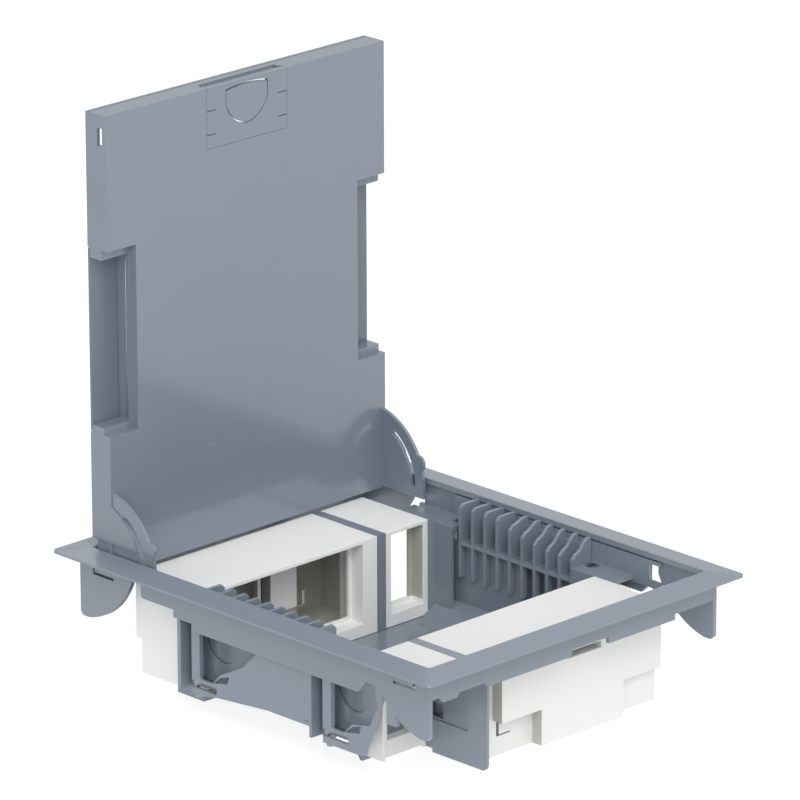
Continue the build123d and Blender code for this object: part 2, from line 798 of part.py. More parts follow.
def make_basin():
    """Grey tub: floor, slanted sides, outer panels with clamp pockets, inner walls and ledges."""
    outer = skirt_in_x - panel_gap
    rear_cheek = clamp_y + slot_far
    front_cheek = -clamp_y + slot_far
    side = side_plate(panel_face(), (open_x + 0.1, outer))
    side -= pocket_cut(clamp_y, ((-42, 37.9), (-52.4, 48.3), (-56, pocket_top)))
    side -= pocket_cut(-clamp_y, ((-38, 31.5), (-44, 44), (-42, pocket_top)))
    for y in (clamp_y, -clamp_y):
        side += block((open_x - 1, outer), (y - guard_near - guard_wide, y - guard_near),
                      (claw_z(1) + claw_clear, z_at(ledge_depth + 1)))
    under_comb = z_at(comb_shelf_depth + comb_shelf + panel_gap)
    side += trough(clamp_y, z_at(ledge_depth + 1)) + cheek(clamp_y, wall_x - basin_wall, z_at(ledge_depth))
    side += trough(-clamp_y, under_comb) + cheek(-clamp_y, pocket_x - basin_wall, under_comb)
    side += pocket_back(clamp_y, (-5, rear_cheek + 1))
    side += pocket_back(-clamp_y, (-floor_half_length, front_cheek + 1))
    side += block((pocket_x - basin_wall, open_x + 1), (-5, -5 + basin_wall), (slant_rise, pocket_top - 6))
    under_carriers = carrier_front - panel_gap
    side += slant_plate(floor_half_width, pocket_x, (-under_carriers, rear_cheek + 1))
    side += slant_plate(floor_half_width, outer, (front_cheek, clamp_y - claw_reach - 0.5))
    side += slant_plate(wall_x, pocket_x, (-floor_half_length, -under_carriers + 1))
    side += ledge(clamp_y, (comb_reach + panel_gap, ledge_end))
    side += ledge(-clamp_y, (-ledge_end, -comb_reach - panel_gap))
    for span in ((comb_reach + panel_gap, wall_end), (-floor_half_length, -comb_reach - panel_gap)):
        side += block((wall_x - basin_wall, wall_x), span, (slant_z(wall_x) - basin_floor, z_at(ledge_depth)))
    for span in ((rear_cheek, wall_end), (-floor_half_length, -under_carriers + 1)):
        side += block((wall_x - basin_wall, wall_x), span, (0, slant_z(wall_x)))
        side += block((0, wall_x), span, (0, basin_floor))
    floor = block((-floor_half_width, floor_half_width), (-floor_half_length, floor_half_length), (0, basin_floor))
    return both_sides(side) + floor


# Cable combs

def comb_span():
    """Y limits of a comb."""
    half = ((comb_count - 1) * comb_pitch + blade_thickness) / 2
    return comb_centre - half, comb_centre + half


def blade_face(drop):
    """Outline of one blade in X and Z; its inner end lies lower than its crest by the drop."""
    outer = open_x - panel_gap
    inner = wall_x + panel_gap
    leg = pocket_x - basin_wall - panel_gap
    high = z_at(comb_top_depth)
    shelf = z_at(comb_shelf_depth + comb_shelf)
    foot = z_at(comb_foot_depth)
    if not drop:
        return outline((outer, shelf), (outer, high), (inner + 2, high), (inner, high - 2), (inner, foot),
                       (leg, foot), (leg, shelf))
    bend = (outer + inner) / 2
    return outline((outer, shelf), (outer, high), (bend + 4, high - drop * 0.05),
                   ((bend + 2, high - drop * 0.25), (bend, high - drop * 0.55)),
                   ((bend - 2.5, high - drop * 0.85), (inner + 2.5, high - drop)),
                   (inner, high - drop - 2.5), (inner, foot), (leg, foot), (leg, shelf))


def make_cable_comb(drops):
    """Right comb: a shelf and a back strip that carry blades with the given drops, front to rear."""
    span = comb_span()
    comb = block((wall_x + panel_gap, open_x - panel_gap), span,
                 (z_at(comb_shelf_depth + comb_shelf), z_at(comb_shelf_depth)))
    comb += block((open_x - panel_gap - 1.6, open_x - panel_gap), span,
                  (z_at(comb_shelf_depth + 1), z_at(under_flange + 4)))
    for index, drop in enumerate(drops):
        y = comb_centre + (index - (comb_count - 1) / 2) * comb_pitch
        comb += front_plate(blade_face(drop), (y - blade_thickness / 2, y + blade_thickness / 2))
    return comb


# Clamps

def make_clamp_screw(x, y):
    """Screw with a slotted head, hanging from its ledge."""
    head_top = z_at(ledge_depth)
    head_low = head_top - screw_head_height
    head = Pos(x, y, (head_top + head_low) / 2) * Cylinder(screw_head_radius, screw_head_height)
    shank = Pos(x, y, (head_low + z_at(screw_tip_depth)) / 2) * Cylinder(
        screw_radius, head_low - z_at(screw_tip_depth))
    drive = Pos(x, y, head_top) * Box(2 * screw_head_radius + 1, 1.0, 2.0)
    return head + shank - drive


def make_clamp_nut(x, y):
    """Flanged nut that carries the claw up and down the screw."""
    top = z_at(claw_depth + claw_thickness)
    body = Pos(x, y, top - nut_height / 2) * Cylinder(nut_radius, nut_height)
    return body - Pos(x, y, top - nut_height / 2) * Cylinder(screw_radius + clamp_play, nut_height + 2)


def make_clamp_claw(side, y):
    """Flat claw on the nut, lying along the box; it swings outwards about the screw."""
    x = side * clamp_x
    middle = z_at(claw_depth) - claw_thickness / 2
    hub = Pos(x, y, middle) * Cylinder(nut_radius, claw_thickness)
    arm_x = x + side * claw_offset
    arm = block((arm_x - claw_arm / 2, arm_x + claw_arm / 2), (y - claw_reach, y),
                (middle - claw_thickness / 2, middle + claw_thickness / 2))
    return hub + arm - Pos(x, y, middle) * Cylinder(screw_radius + clamp_play, claw_thickness + 2)


# Writing

def hinge_pin(side):
    """Pin through the lid's arm and the frame's boss."""
    inner = ear_x - ear_plate - 0.6
    span = (side * inner, side * (skirt_x - 0.3))
    return x_rod(hinge_pin_radius, (min(span), max(span)), hinge_y, z_at(hinge_depth))


def build_all():
    """Every node of the box by name."""
    large = make_large_carrier()
    small = make_small_carrier()
    cover = make_back_cover()
    divider = make_divider()
    flap = make_cable_flap()
    flap_pin = flap_pin_rod(flap_pin_radius, flap_pin_bite)
    y, z = handle_axis()
    pin_half = handle_width / 2 + 3.5
    nodes = {
        "bezel_frame": make_bezel_frame(),
        "basin": make_basin(),
        "cable_comb_left": mirrored(make_cable_comb(comb_count * (0,))),
        "cable_comb_right": make_cable_comb(blade_drops),
        "lid_tray": make_lid_tray(),
        "hinge_pin_left": hinge_pin(-1),
        "hinge_pin_right": hinge_pin(1),
        "cable_flap_left": mirrored(flap),
        "cable_flap_right": flap,
        "flap_pin_left": mirrored(flap_pin),
        "flap_pin_right": flap_pin,
        "handle_cartridge": make_handle_cartridge(),
        "lifting_handle": make_lifting_handle(),
        "handle_pin": x_rod(handle_pin_radius, (-pin_half, pin_half), y, z),
        "rear_large_carrier": large,
        "rear_small_carrier": small,
        "rear_back_cover": cover,
        "rear_divider": divider,
        "front_large_carrier": turned(large),
        "front_small_carrier": turned(small),
        "front_back_cover": turned(cover),
        "front_divider": turned(divider),
    }
    for side, side_name in ((-1, "left"), (1, "right")):
        for end, end_name in ((-1, "front"), (1, "rear")):
            x = side * clamp_x
            y = end * clamp_y
            place = f"{end_name}_{side_name}"
            nodes[f"clamp_screw_{place}"] = make_clamp_screw(x, y)
            nodes[f"clamp_nut_{place}"] = make_clamp_nut(x, y)
            nodes[f"clamp_claw_{place}"] = make_clamp_claw(side, y)
    return nodes


os.makedirs("parts", exist_ok=True)
for name, shape in build_all().items():
    export_step(shape, f"parts/{name}.step")
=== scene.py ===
"""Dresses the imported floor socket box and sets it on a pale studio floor, for Blender 4.5.

Lengths are in millimetres, in the frame of the box, unless a name or a docstring says metres.
"""

import logging
import math
from dataclasses import dataclass
from enum import Enum

import bmesh
import bpy
from mathutils import Matrix, Vector

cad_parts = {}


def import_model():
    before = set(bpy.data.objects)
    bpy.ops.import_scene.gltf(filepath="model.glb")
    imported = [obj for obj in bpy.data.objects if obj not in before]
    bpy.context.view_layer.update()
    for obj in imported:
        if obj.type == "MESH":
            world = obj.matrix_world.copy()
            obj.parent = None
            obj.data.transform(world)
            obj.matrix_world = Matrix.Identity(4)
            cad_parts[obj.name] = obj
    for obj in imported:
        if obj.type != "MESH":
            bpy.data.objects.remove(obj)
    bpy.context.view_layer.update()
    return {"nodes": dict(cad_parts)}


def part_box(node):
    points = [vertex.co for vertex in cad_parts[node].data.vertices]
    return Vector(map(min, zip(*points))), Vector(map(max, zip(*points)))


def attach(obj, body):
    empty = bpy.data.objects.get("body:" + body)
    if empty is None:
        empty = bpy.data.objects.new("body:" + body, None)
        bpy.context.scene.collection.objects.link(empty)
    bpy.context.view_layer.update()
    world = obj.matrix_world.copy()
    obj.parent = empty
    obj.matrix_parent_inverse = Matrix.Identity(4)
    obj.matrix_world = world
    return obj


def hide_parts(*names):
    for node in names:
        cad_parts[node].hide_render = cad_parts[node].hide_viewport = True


LOG = logging.getLogger("floor_box")
MM = 0.001

Point = tuple[float, float, float]
Colour = tuple[float, float, float]
Pair = tuple[float, float]
Reach = tuple[float, float]
Span = tuple[Point, Point]


class Body(Enum):
    """Names of the moving groups that a piece of the scene can ride on."""

    BOX = "box"
    LID = "lid"


class Slot(Enum):
    """Names of the record's material slots."""

    GREY = "grey_plastic"
    WHITE = "white_plastic"
    STEEL = "plated_steel"


def block(x: Reach, y: Reach, z: Reach) -> Span:
    """Returns the lowest and highest corners of the block that covers three ranges."""
    (low_x, high_x), (low_y, high_y), (low_z, high_z) = x, y, z
    return (low_x, low_y, low_z), (high_x, high_y, high_z)


def front_twins(spans: tuple[Span, ...]) -> tuple[Span, ...]:
    """Returns the same blocks of the front row, half round the box."""
    return tuple(block((-high[0], -low[0]), (-high[1], -low[1]), (low[2], high[2])) for low, high in spans)


def on_both_sides(spans: tuple[Span, ...]) -> tuple[Span, ...]:
    """Returns blocks at the right with their mirror images at the left."""
    return spans + tuple(block((-high[0], -low[0]), (low[1], high[1]), (low[2], high[2])) for low, high in spans)


def edges_of(node: str) -> tuple[Vector, Vector]:
    """Returns a node's lowest and highest corners."""
    low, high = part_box(node)
    return Vector(low) / MM, Vector(high) / MM


class NodeTools:
    """Short ways to add and join shader nodes in one tree."""

    def __init__(self, tree: bpy.types.NodeTree) -> None:
        """Keeps the tree that nodes are added to."""
        self.tree = tree

    def add(self, kind: str, **settings: object) -> bpy.types.Node:
        """Adds a node.

        Args:
            kind: Blender's type name of the node.
            settings: attributes that are set on it.

        Returns:
            The new node.
        """
        node = self.tree.nodes.new(kind)
        for name, value in settings.items():
            setattr(node, name, value)
        return node

    def join(self, source: bpy.types.NodeSocket, target: bpy.types.NodeSocket) -> None:
        """Links an output to an input."""
        self.tree.links.new(source, target)

    def blend(self, factor: bpy.types.NodeSocket, low: Colour, high: Colour) -> bpy.types.NodeSocket:
        """Mixes two colours by a mask.

        Args:
            factor: output that gives the mask.
            low: colour where the mask is 0.
            high: colour where the mask is 1.

        Returns:
            The output with the mixed colour.
        """
        mix = self.add("ShaderNodeMix", data_type="RGBA")
        mix.inputs["A"].default_value = (*low, 1)
        mix.inputs["B"].default_value = (*high, 1)
        self.join(factor, mix.inputs["Factor"])
        return mix.outputs["Result"]

    def stretch(self, value: bpy.types.NodeSocket, low: float, high: float) -> bpy.types.NodeSocket:
        """Maps a value of 0 to 1 onto another range.

        Args:
            value: output that gives the value.
            low: result where the value is 0.
            high: result where the value is 1.

        Returns:
            The output with the result.
        """
        node = self.add("ShaderNodeMapRange")
        node.inputs["To Min"].default_value = low
        node.inputs["To Max"].default_value = high
        self.join(value, node.inputs["Value"])
        return node.outputs["Result"]


class SharedGroup:
    """A node group that materials share."""

    NAME = ""

    @classmethod
    def tree(cls) -> bpy.types.NodeTree:
        """Returns the group, built on first use."""
        return bpy.data.node_groups.get(cls.NAME) or cls._build()

    @classmethod
    def _build(cls) -> bpy.types.NodeTree:
        """Builds the group."""
        raise NotImplementedError

    @classmethod
    def _start(cls, inputs: tuple[str, ...], outputs: tuple[str, ...], kind: str) -> bpy.types.NodeTree:
        """Makes the empty group.

        Args:
            inputs: names of the inputs.
            outputs: names of the outputs, which are plain numbers.
            kind: Blender's type name of the inputs.

        Returns:
            The new group.
        """
        tree = bpy.data.node_groups.new(cls.NAME, "ShaderNodeTree")
        for name in inputs:
            tree.interface.new_socket(name=name, in_out="INPUT", socket_type=kind)
        for name in outputs:
            tree.interface.new_socket(name=name, in_out="OUTPUT", socket_type="NodeSocketFloat")
        return tree


class MouldedSurface(SharedGroup):
    """Skin of a moulded or plated piece: fine grain and broad cloudiness, from Object coordinates."""

    NAME = "moulded_surface"
    GRAIN_DETAIL = 3
    CLOUD_DETAIL = 5
    CLOUD_DISTORTION = 0.4

    @classmethod
    def _build(cls) -> bpy.types.NodeTree:
        """Builds the group of two noises."""
        tree = cls._start(("Grain Scale", "Cloud Scale"), ("Grain", "Cloud"), "NodeSocketFloat")
        tools = NodeTools(tree)
        entry = tools.add("NodeGroupInput")
        leave = tools.add("NodeGroupOutput")
        place = tools.add("ShaderNodeTexCoord")
        grain = tools.add("ShaderNodeTexNoise")
        grain.inputs["Detail"].default_value = cls.GRAIN_DETAIL
        cloud = tools.add("ShaderNodeTexNoise")
        cloud.inputs["Detail"].default_value = cls.CLOUD_DETAIL
        cloud.inputs["Distortion"].default_value = cls.CLOUD_DISTORTION
        for node, name in ((grain, "Grain"), (cloud, "Cloud")):
            tools.join(place.outputs["Object"], node.inputs["Vector"])
            tools.join(entry.outputs[f"{name} Scale"], node.inputs["Scale"])
            tools.join(node.outputs["Fac"], leave.inputs[name])
        return tree


class PaintedShadeBoxMask(SharedGroup):
    """Mask that is 1 inside a box of Object coordinates, in metres, and 0 outside it; it places painted shade.
    """

    NAME = "painted_shade_box_mask"

    @classmethod
    def _build(cls) -> bpy.types.NodeTree:
        """Builds the group: inside, the largest share of the way from the middle to a wall is under 1."""
        tree = cls._start(("Middle", "Half Size"), ("Mask",), "NodeSocketVector")
        tools = NodeTools(tree)
        entry = tools.add("NodeGroupInput")
        leave = tools.add("NodeGroupOutput")
        place = tools.add("ShaderNodeTexCoord")
        offset = tools.add("ShaderNodeVectorMath", operation="SUBTRACT")
        share = tools.add("ShaderNodeVectorMath", operation="DIVIDE")
        size = tools.add("ShaderNodeVectorMath", operation="ABSOLUTE")
        parts = tools.add("ShaderNodeSeparateXYZ")
        level = tools.add("ShaderNodeMath", operation="MAXIMUM")
        whole = tools.add("ShaderNodeMath", operation="MAXIMUM")
        inside = tools.add("ShaderNodeMath", operation="LESS_THAN")
        inside.inputs[1].default_value = 1
        links = (
            (place.outputs["Object"], offset.inputs[0]),
            (entry.outputs["Middle"], offset.inputs[1]),
            (offset.outputs["Vector"], share.inputs[0]),
            (entry.outputs["Half Size"], share.inputs[1]),
            (share.outputs["Vector"], size.inputs[0]),
            (size.outputs["Vector"], parts.inputs["Vector"]),
            (parts.outputs["X"], level.inputs[0]),
            (parts.outputs["Y"], level.inputs[1]),
            (level.outputs["Value"], whole.inputs[0]),
            (parts.outputs["Z"], whole.inputs[1]),
            (whole.outputs["Value"], inside.inputs[0]),
            (inside.outputs["Value"], leave.inputs["Mask"]),
        )
        for source, target in links:
            tools.join(source, target)
        return tree


@dataclass(frozen=True)
class PaintedShadeZone:
    """Part of a piece, between two corners, where shade is painted into the colour: a darker colour laid by
    place on faces inside the covers and recesses, where little light falls.
    """

    span: Span
    shade_tone: Colour

    def front_twin(self) -> "PaintedShadeZone":
        """Returns the same painted shade, placed on the front row."""
        return PaintedShadeZone(front_twins((self.span,))[0], self.shade_tone)

    def lay(self, tools: NodeTools, colour: bpy.types.NodeSocket) -> bpy.types.NodeSocket:
        """Lays the painted shade over a colour.

        Args:
            tools: the material's nodes.
            colour: output with the colour so far.

        Returns:
            The output with the painted shade laid in.
        """
        mask = tools.add("ShaderNodeGroup", node_tree=PaintedShadeBoxMask.tree())
        low, high = (Vector(corner) * MM for corner in self.span)
        mask.inputs["Middle"].default_value = (low + high) / 2
        mask.inputs["Half Size"].default_value = (high - low) / 2
        mix = tools.add("ShaderNodeMix", data_type="RGBA")
        mix.inputs["B"].default_value = (*self.shade_tone, 1)
        tools.join(mask.outputs["Mask"], mix.inputs["Factor"])
        tools.join(colour, mix.inputs["A"])
        return mix.outputs["Result"]


@dataclass(frozen=True)
class Finish:
    """A moulded or plated surface.

    Attributes:
        name: the material's name.
        slot: the record's material slot; nothing reads it.
        dark: the darker of its two close tones.
        light: the lighter one.
        smooth: roughness where it is smoothest.
        rough: roughness where it is roughest.
        relief: strength of the grain's bump.
        grain_scale: scale of the grain's noise.
        cloud_scale: scale of the cloudiness.
        metallic: 1 for metal.
        coat: weight of the glossy coat.
        coat_rough: roughness of the coat.
        sink: weight of the light that enters the plastic.
        painted_shade_zones: parts where shade is painted into the colour.
    """

    name: str
    slot: Slot
    dark: Colour
    light: Colour
    smooth: float
    rough: float
    relief: float
    grain_scale: float = 2600.0
    cloud_scale: float = 22.0
    metallic: float = 0.0
    coat: float = 0.0
    coat_rough: float = 0.12
    sink: float = 0.0
    painted_shade_zones: tuple[PaintedShadeZone, ...] = ()

    def material(self) -> bpy.types.Material:
        """Returns the material, built on first use."""
        return bpy.data.materials.get(self.name) or self._build()

    def _build(self) -> bpy.types.Material:
        """Builds the Principled material round the shared group."""
        sink_colour, sink_metres, relief_metres = (1.0, 0.9, 0.8), 0.002, 0.00004
        made = bpy.data.materials.new(self.name)
        made.use_nodes = True
        tools = NodeTools(made.node_tree)
        shader = made.node_tree.nodes["Principled BSDF"]
        shader.inputs["Metallic"].default_value = self.metallic
        shader.inputs["Coat Weight"].default_value = self.coat
        shader.inputs["Coat Roughness"].default_value = self.coat_rough
        shader.inputs["Subsurface Weight"].default_value = self.sink
        shader.inputs["Subsurface Radius"].default_value = sink_colour
        shader.inputs["Subsurface Scale"].default_value = sink_metres
        skin = tools.add("ShaderNodeGroup", node_tree=MouldedSurface.tree())
        skin.inputs["Grain Scale"].default_value = self.grain_scale
        skin.inputs["Cloud Scale"].default_value = self.cloud_scale
        colour = tools.blend(skin.outputs["Cloud"], self.dark, self.light)
        # Painted shade: each of these lays a darker colour by place, where shade falls inside recesses and
        # covers.
        for shade_zone in self.painted_shade_zones:
            colour = shade_zone.lay(tools, colour)
        tools.join(colour, shader.inputs["Base Color"])
        tools.join(tools.stretch(skin.outputs["Cloud"], self.smooth, self.rough), shader.inputs["Roughness"])
        bump = tools.add("ShaderNodeBump")
        bump.inputs["Strength"].default_value = self.relief
        bump.inputs["Distance"].default_value = relief_metres
        tools.join(skin.outputs["Grain"], bump.inputs["Height"])
        tools.join(bump.outputs["Normal"], shader.inputs["Normal"])
        return made


GREY_PLASTIC = Finish(
    "grey_moulding", Slot.GREY, dark=(0.172, 0.206, 0.250), light=(0.184, 0.219, 0.264),
    smooth=0.28, rough=0.38, relief=0.25, coat=0.4,
)
LID_PLASTIC = Finish(
    "lid_moulding", Slot.GREY, dark=(0.149, 0.181, 0.225), light=(0.160, 0.192, 0.237),
    smooth=0.20, rough=0.28, relief=0.10, coat=0.55, coat_rough=0.07,
)
# Painted reflection: the flaps are the box's grey plastic, painted darker and bluer for the dark reflection that
# they show.
FLAP_PAINTED_REFLECTION = Finish(
    "flap_moulding_painted_reflection", Slot.GREY, dark=(0.112, 0.136, 0.178), light=(0.122, 0.147, 0.190),
    smooth=0.26, rough=0.36, relief=0.2, coat=0.2,
)
# Painted shade: these brown and warm greys stand in for the shade inside the large cover, on the side walls of
# its recesses and in the small carrier's window; the white plastic itself is not this colour.
BROWN_PAINTED_SHADE = (0.36, 0.35, 0.31)
WARM_PAINTED_SHADE = (0.42, 0.41, 0.37)
REAR_PAINTED_SHADE = (
    PaintedShadeZone(block((-86.0, 47.6), (94.6, 111.8), (3.4, 58.6)), BROWN_PAINTED_SHADE),
    PaintedShadeZone(block((-86.0, 46.6), (79.4, 94.6), (3.4, 20.0)), BROWN_PAINTED_SHADE),
    PaintedShadeZone(block((37.2, 37.6), (112.2, 119.3), (-1.0, 58.0)), WARM_PAINTED_SHADE),
    PaintedShadeZone(block((6.5, 6.9), (112.2, 119.3), (-1.0, 21.4)), WARM_PAINTED_SHADE),
)
# Painted shade on the inner wall of the rear small carrier's window.
SMALL_WINDOW_PAINTED_SHADE = PaintedShadeZone(block((57.0, 88.0), (66.6, 118.0), (12.8, 58.0)), WARM_PAINTED_SHADE)
# One white plastic in two copies: the rear row's white is painted lighter, for light that the lid keeps off it,
# and the front row's is painted darker, for the stronger light on it; both carry painted shade in their
# recesses.
WHITE_REAR_PAINTED_LIGHT_AND_SHADE = Finish(
    "white_moulding_rear_painted_light_and_shade", Slot.WHITE, dark=(0.77, 0.77, 0.76), light=(0.81, 0.81, 0.80),
    smooth=0.36, rough=0.48, relief=0.2, sink=0.05, painted_shade_zones=(*REAR_PAINTED_SHADE, SMALL_WINDOW_PAINTED_SHADE),
)
WHITE_FRONT_PAINTED_SHADE = Finish(
    "white_moulding_front_painted_shade", Slot.WHITE, dark=(0.67, 0.67, 0.66), light=(0.71, 0.71, 0.70),
    smooth=0.36, rough=0.48, relief=0.2, sink=0.05, painted_shade_zones=tuple(shade_zone.front_twin() for shade_zone in REAR_PAINTED_SHADE),
)
PLATED_STEEL = Finish(
    "plated_fastener", Slot.STEEL, dark=(0.26, 0.27, 0.28), light=(0.40, 0.41, 0.42),
    smooth=0.26, rough=0.5, relief=0.5, grain_scale=900.0, cloud_scale=160.0, metallic=1.0,
)


class Mesher:
    """Turns meshes into finished objects of the scene."""

    MERGE_METRES = 1e-6
    BROKEN_EDGE = 0.25
    SHARP_ANGLE = math.radians(40)

    @staticmethod
    def plain(name: str, shape: bmesh.types.BMesh) -> bpy.types.Object:
        """Makes an object of a mesh, with no finish yet.

        Args:
            name: name of the object.
            shape: its mesh in metres; it is freed.

        Returns:
            The new object.
        """
        bmesh.ops.recalc_face_normals(shape, faces=shape.faces)
        mesh = bpy.data.meshes.new(name)
        shape.to_mesh(mesh)
        shape.free()
        made = bpy.data.objects.new(name, mesh)
        bpy.context.scene.collection.objects.link(made)
        return made

    @classmethod
    def piece(cls, name: str, shape: bmesh.types.BMesh, finish: Finish, body: Body) -> None:
        """Makes a smooth piece of its own and lets it ride on a body.

        Args:
            name: name of the piece.
            shape: its mesh in metres; it is freed.
            finish: its surface.
            body: the group it moves with.
        """
        bmesh.ops.remove_doubles(shape, verts=shape.verts, dist=cls.MERGE_METRES)
        for face in shape.faces:
            face.smooth = True
        made = cls.plain(name, shape)
        made.data.materials.append(finish.material())
        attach(made, body.value)
        LOG.info("%s: %d faces on %s", name, len(made.data.polygons), body.value)

    @classmethod
    def dress(cls, node: bpy.types.Object, finish: Finish, edge: float = BROKEN_EDGE) -> None:
        """Gives a solid its finish and softly broken edges.

        Args:
            node: the solid.
            finish: its surface.
            edge: width of the broken edges.
        """
        node.data.materials.clear()
        node.data.materials.append(finish.material())
        weld = node.modifiers.new("weld", "WELD")
        weld.merge_threshold = cls.MERGE_METRES
        bevel = node.modifiers.new("broken_edges", "BEVEL")
        bevel.width = edge * MM
        bevel.segments = 2
        bevel.limit_method = "ANGLE"
        bevel.angle_limit = cls.SHARP_ANGLE
        bevel.harden_normals = True
        LOG.info("%s: dressed as %s", node.name, finish.name)

    @classmethod
    def combine(cls, made: bpy.types.Object, spans: tuple[Span, ...], operation: str) -> None:
        """Joins blocks to an object, or cuts them out of it, for good.

        Args:
            made: the object.
            spans: lowest and highest corners of each block.
            operation: UNION or DIFFERENCE.
        """
        for span in spans:
            tool = cls._tool(span)
            step = made.modifiers.new("step", "BOOLEAN")
            step.object = tool
            step.operation = operation
            step.solver = "EXACT"
            graph = bpy.context.evaluated_depsgraph_get()
            before = made.data
            made.data = bpy.data.meshes.new_from_object(made.evaluated_get(graph))
            made.modifiers.clear()
            bpy.data.meshes.remove(before)
            bpy.data.objects.remove(tool)
            cls._clean(made.data)

    @classmethod
    def _tool(cls, span: Span) -> bpy.types.Object:
        """Makes the block that a Boolean works with."""
        lowest, highest = (Vector(corner) * MM for corner in span)
        shape = bmesh.new()
        bmesh.ops.create_cube(shape, size=1)
        bmesh.ops.scale(shape, vec=highest - lowest, verts=shape.verts)
        bmesh.ops.translate(shape, vec=(lowest + highest) / 2, verts=shape.verts)
        return cls.plain("tool_block", shape)

    @classmethod
    def _clean(cls, mesh: bpy.types.Mesh) -> None:
        """Merges points in one place and makes triangles, so that no concave face is filled wrongly."""
        shape = bmesh.new()
        shape.from_mesh(mesh)
        bmesh.ops.remove_doubles(shape, verts=shape.verts, dist=cls.MERGE_METRES)
        bmesh.ops.triangulate(shape, faces=shape.faces)
        shape.to_mesh(mesh)
        shape.free()


@dataclass
class Refined:
    """A solid of the frame drawn again with forms joined on and cut out."""

    node: str
    finish: Finish
    joined: tuple[Span, ...] = ()
    cuts: tuple[Span, ...] = ()

    def build(self, nodes: dict[str, bpy.types.Object]) -> None:
        """Makes the new piece, which stands for the solid."""
        shape = bmesh.new()
        shape.from_mesh(nodes[self.node].data)
        bmesh.ops.remove_doubles(shape, verts=shape.verts, dist=Mesher.MERGE_METRES)
        made = Mesher.plain(f"{self.node}_refined", shape)
        Mesher.combine(made, self.joined, "UNION")
        Mesher.combine(made, self.cuts, "DIFFERENCE")
        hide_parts(self.node)
        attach(made, Body.BOX.value)
        Mesher.dress(made, self.finish)


@dataclass
class FrameForms:
    """Forms that the bezel frame's solid lacks.

    Attributes:
        overhang: how far the flange stands out past the skirt.
        wall: thickness of the skirt.
        plate_length: length of the plates that close the rear skirt's corners.
        plate_drop: heights of the plates' two edges, down from the flange's top.
        nick_x: nick in the right skirt, from just inside its outer face to the air beside it.
        nick_y: its length.
        nick_z: its height.
        web_y: web under the ear at the front left.
        web_z: its height.
        seam_y: strip that closes the slit between that ear and the skirt.
        seam_z: its height.
    """

    overhang: float = 11.3
    wall: float = 2.5
    plate_length: float = 12.1
    plate_drop: Pair = (27.0, 15.0)
    nick_x: Reach = (-0.3, 2.8)
    nick_y: Reach = (-121.0, -111.5)
    nick_z: Reach = (70.2, 71.6)
    web_y: Reach = (-113.0, -105.6)
    web_z: Reach = (38.0, 56.0)
    seam_y: Reach = (-99.5, -86.5)
    seam_z: Reach = (57.5, 74.0)

    def refined(self) -> Refined:
        """Returns the frame with its corner plates, web and seam, and its nick."""
        high = edges_of("bezel_frame")[1]
        side = high.x - self.overhang
        rear = high.y - self.overhang
        left_wall = (-side, -side + self.wall)
        low_drop, high_drop = self.plate_drop
        plate = block((side - self.plate_length, side), (rear - self.wall, rear),
                      (high.z - low_drop, high.z - high_drop))
        nick = block((side + self.nick_x[0], side + self.nick_x[1]), self.nick_y, self.nick_z)
        web = block(left_wall, self.web_y, self.web_z)
        seam = block(left_wall, self.seam_y, self.seam_z)
        return Refined("bezel_frame", GREY_PLASTIC, joined=(*on_both_sides((plate,)), web, seam), cuts=(nick,))


@dataclass
class BasinForms:
    """Forms that the basin's solid lacks.

    Attributes:
        ledge_y: length of the rear ledges beside the lid's ears.
        ledge_z: their height.
        prong_x: the inner ledge.
        strip_low: inner edge of the outer ledge, which ends with the basin.
        end_half: half width of the front end that is cut away.
        end_past: how far that cut runs past the basin, to the front and down.
        carrier_gap: distance between the cut and the front carriers.
        wing_x: cuts in the side walls of the front pockets.
        wing_low: front end of those cuts.
        wings: height of each cut and its rear end.
        window: window in the wall at the front right.
    """

    ledge_y: Reach = (78.5, 90.0)
    ledge_z: Reach = (57.4, 59.8)
    prong_x: Reach = (89.2, 101.9)
    strip_low: float = 105.8
    end_half: float = 95.2
    end_past: Pair = (5.0, 1.0)
    carrier_gap: float = 0.1
    wing_x: Reach = (95.1, 97.3)
    wing_low: float = -84.2
    wings: tuple[tuple[Reach, float], ...] = (((8.0, 22.0), -70.0), ((21.9, 27.0), -79.5), ((26.9, 32.0), -81.5))
    window: Span = block((106.3, 108.5), (-99.8, -91.0), (59.9, 69.5))

    def refined(self) -> Refined:
        """Returns the basin that stops at the front carriers, with its rear ledges run on."""
        low, high = edges_of("basin")
        carrier = edges_of("front_large_carrier")[1].y
        front_past, down_past = self.end_past
        end = block((-self.end_half, self.end_half), (low.y - front_past, carrier - self.carrier_gap),
                    (low.z - down_past, self.ledge_z[0]))
        prong = block(self.prong_x, self.ledge_y, self.ledge_z)
        strip = block((self.strip_low, high.x), self.ledge_y, self.ledge_z)
        wings = tuple(block(self.wing_x, (self.wing_low, rear), height) for height, rear in self.wings)
        return Refined("basin", GREY_PLASTIC, joined=on_both_sides((prong, strip)),
                       cuts=(end, self.window, *on_both_sides(wings)))


